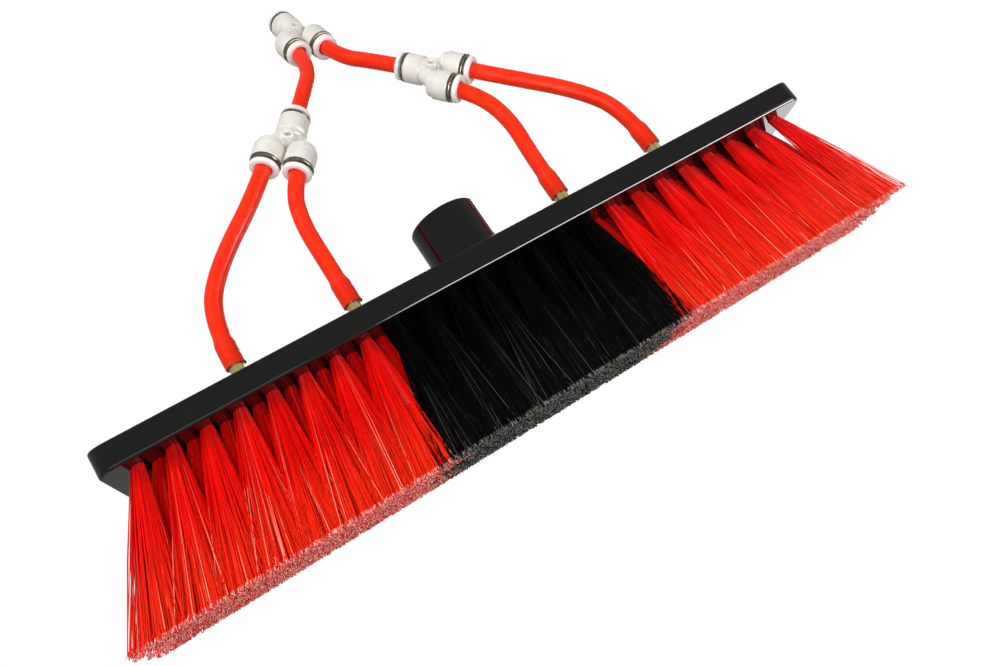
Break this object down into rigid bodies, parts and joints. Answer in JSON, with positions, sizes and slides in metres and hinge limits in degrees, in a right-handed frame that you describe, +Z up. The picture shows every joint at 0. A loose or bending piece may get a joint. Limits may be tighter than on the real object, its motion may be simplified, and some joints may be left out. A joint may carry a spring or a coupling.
{
  "type": "water-fed brush head",
  "caption": "Long flat brush head with red and black bristle tufts, a central pole socket, brass water jets and a hose harness joined by push-fit Y fittings.",
  "frame": {"origin": "centre of the plane of the bristle tips, below the middle of the block", "axes": "+Z up from the bristle tips to the pole socket, +X along the block"},
  "size_m": [0.3776, 0.0752, 0.2704],
  "materials": {
    "block_plastic": "glossy black injection-moulded polypropylene",
    "bristle_red": "bright red flagged polyester filament",
    "bristle_black": "black flagged polyester filament",
    "anchor_steel": "drawn stainless wire",
    "jet_brass": "turned brass",
    "hose_polyurethane": "smooth orange-red polyurethane tube",
    "fitting_plastic": "warm white moulded polybutylene terephthalate",
    "ring_nickel": "nickel-plated brass",
    "grip_steel": "sprung stainless steel",
    "seal_rubber": "nitrile rubber"
  },
  "bodies": {
    "brush_head": {"brush_block": "block_plastic", "fitting_left_body": "fitting_plastic", "fitting_left_cap_rings": "ring_nickel", "fitting_left_grip_rings": "grip_steel", "fitting_left_seals": "seal_rubber", "fitting_right_body": "fitting_plastic", "fitting_right_cap_rings": "ring_nickel", "fitting_right_grip_rings": "grip_steel", "fitting_right_seals": "seal_rubber", "fitting_top_body": "fitting_plastic", "fitting_top_cap_rings": "ring_nickel", "fitting_top_grip_rings": "grip_steel", "fitting_top_seals": "seal_rubber", "jet_hose_inner_left": "hose_polyurethane", "jet_hose_inner_right": "hose_polyurethane", "jet_hose_outer_left": "hose_polyurethane", "jet_hose_outer_right": "hose_polyurethane", "jet_inner_left": "jet_brass", "jet_inner_right": "jet_brass", "jet_outer_left": "jet_brass", "jet_outer_right": "jet_brass", "link_hose_left": "hose_polyurethane", "link_hose_right": "hose_polyurethane", "pole_socket": "block_plastic", "tuft_anchors_centre": "anchor_steel", "tuft_anchors_left": "anchor_steel", "tuft_anchors_right": "anchor_steel", "tufts_row_1_centre": "bristle_black", "tufts_row_1_left": "bristle_red", "tufts_row_1_right": "bristle_red", "tufts_row_2_centre": "bristle_black", "tufts_row_2_left": "bristle_red", "tufts_row_2_right": "bristle_red", "tufts_row_3_centre": "bristle_black", "tufts_row_3_left": "bristle_red", "tufts_row_3_right": "bristle_red", "tufts_row_4_centre": "bristle_black", "tufts_row_4_left": "bristle_red", "tufts_row_4_right": "bristle_red", "tufts_row_5_centre": "bristle_black", "tufts_row_5_left": "bristle_red", "tufts_row_5_right": "bristle_red", "tufts_row_6_centre": "bristle_black", "tufts_row_6_left": "bristle_red", "tufts_row_6_right": "bristle_red", "tufts_row_7_centre": "bristle_black", "tufts_row_7_left": "bristle_red", "tufts_row_7_right": "bristle_red"},
    "left_branch_a_collet": {"fitting_left_collet_branch_a": "fitting_plastic"},
    "left_branch_b_collet": {"fitting_left_collet_branch_b": "fitting_plastic"},
    "left_inlet_collet": {"fitting_left_collet_inlet": "fitting_plastic"},
    "right_branch_a_collet": {"fitting_right_collet_branch_a": "fitting_plastic"},
    "right_branch_b_collet": {"fitting_right_collet_branch_b": "fitting_plastic"},
    "right_inlet_collet": {"fitting_right_collet_inlet": "fitting_plastic"},
    "top_branch_a_collet": {"fitting_top_collet_branch_a": "fitting_plastic"},
    "top_branch_b_collet": {"fitting_top_collet_branch_b": "fitting_plastic"},
    "top_inlet_collet": {"fitting_top_collet_inlet": "fitting_plastic"}
  },
  "joints": [
    {"name": "left_branch_a_release", "type": "slide", "parent": "brush_head", "child": "left_branch_a_collet", "axis": [0.6289, 0.1697, 0.7587], "range_m": [0, 0.001], "stiffness_N_per_m": 1500},
    {"name": "left_branch_b_release", "type": "slide", "parent": "brush_head", "child": "left_branch_b_collet", "axis": [0.6289, 0.1697, 0.7587], "range_m": [0, 0.001], "stiffness_N_per_m": 1500},
    {"name": "left_inlet_release", "type": "slide", "parent": "brush_head", "child": "left_inlet_collet", "axis": [-0.6289, -0.1697, -0.7587], "range_m": [0, 0.001], "stiffness_N_per_m": 1500},
    {"name": "right_branch_a_release", "type": "slide", "parent": "brush_head", "child": "right_branch_a_collet", "axis": [-0.5697, 0.2599, 0.7796], "range_m": [0, 0.001], "stiffness_N_per_m": 1500},
    {"name": "right_branch_b_release", "type": "slide", "parent": "brush_head", "child": "right_branch_b_collet", "axis": [-0.5697, 0.2599, 0.7796], "range_m": [0, 0.001], "stiffness_N_per_m": 1500},
    {"name": "right_inlet_release", "type": "slide", "parent": "brush_head", "child": "right_inlet_collet", "axis": [0.5697, -0.2599, -0.7796], "range_m": [0, 0.001], "stiffness_N_per_m": 1500},
    {"name": "top_branch_a_release", "type": "slide", "parent": "brush_head", "child": "top_branch_a_collet", "axis": [-0.0798, 0.3391, 0.9374], "range_m": [0, 0.001], "stiffness_N_per_m": 1500},
    {"name": "top_branch_b_release", "type": "slide", "parent": "brush_head", "child": "top_branch_b_collet", "axis": [-0.0798, 0.3391, 0.9374], "range_m": [0, 0.001], "stiffness_N_per_m": 1500},
    {"name": "top_inlet_release", "type": "slide", "parent": "brush_head", "child": "top_inlet_collet", "axis": [0.0798, -0.3391, -0.9374], "range_m": [0, 0.001], "stiffness_N_per_m": 1500}
  ]
}
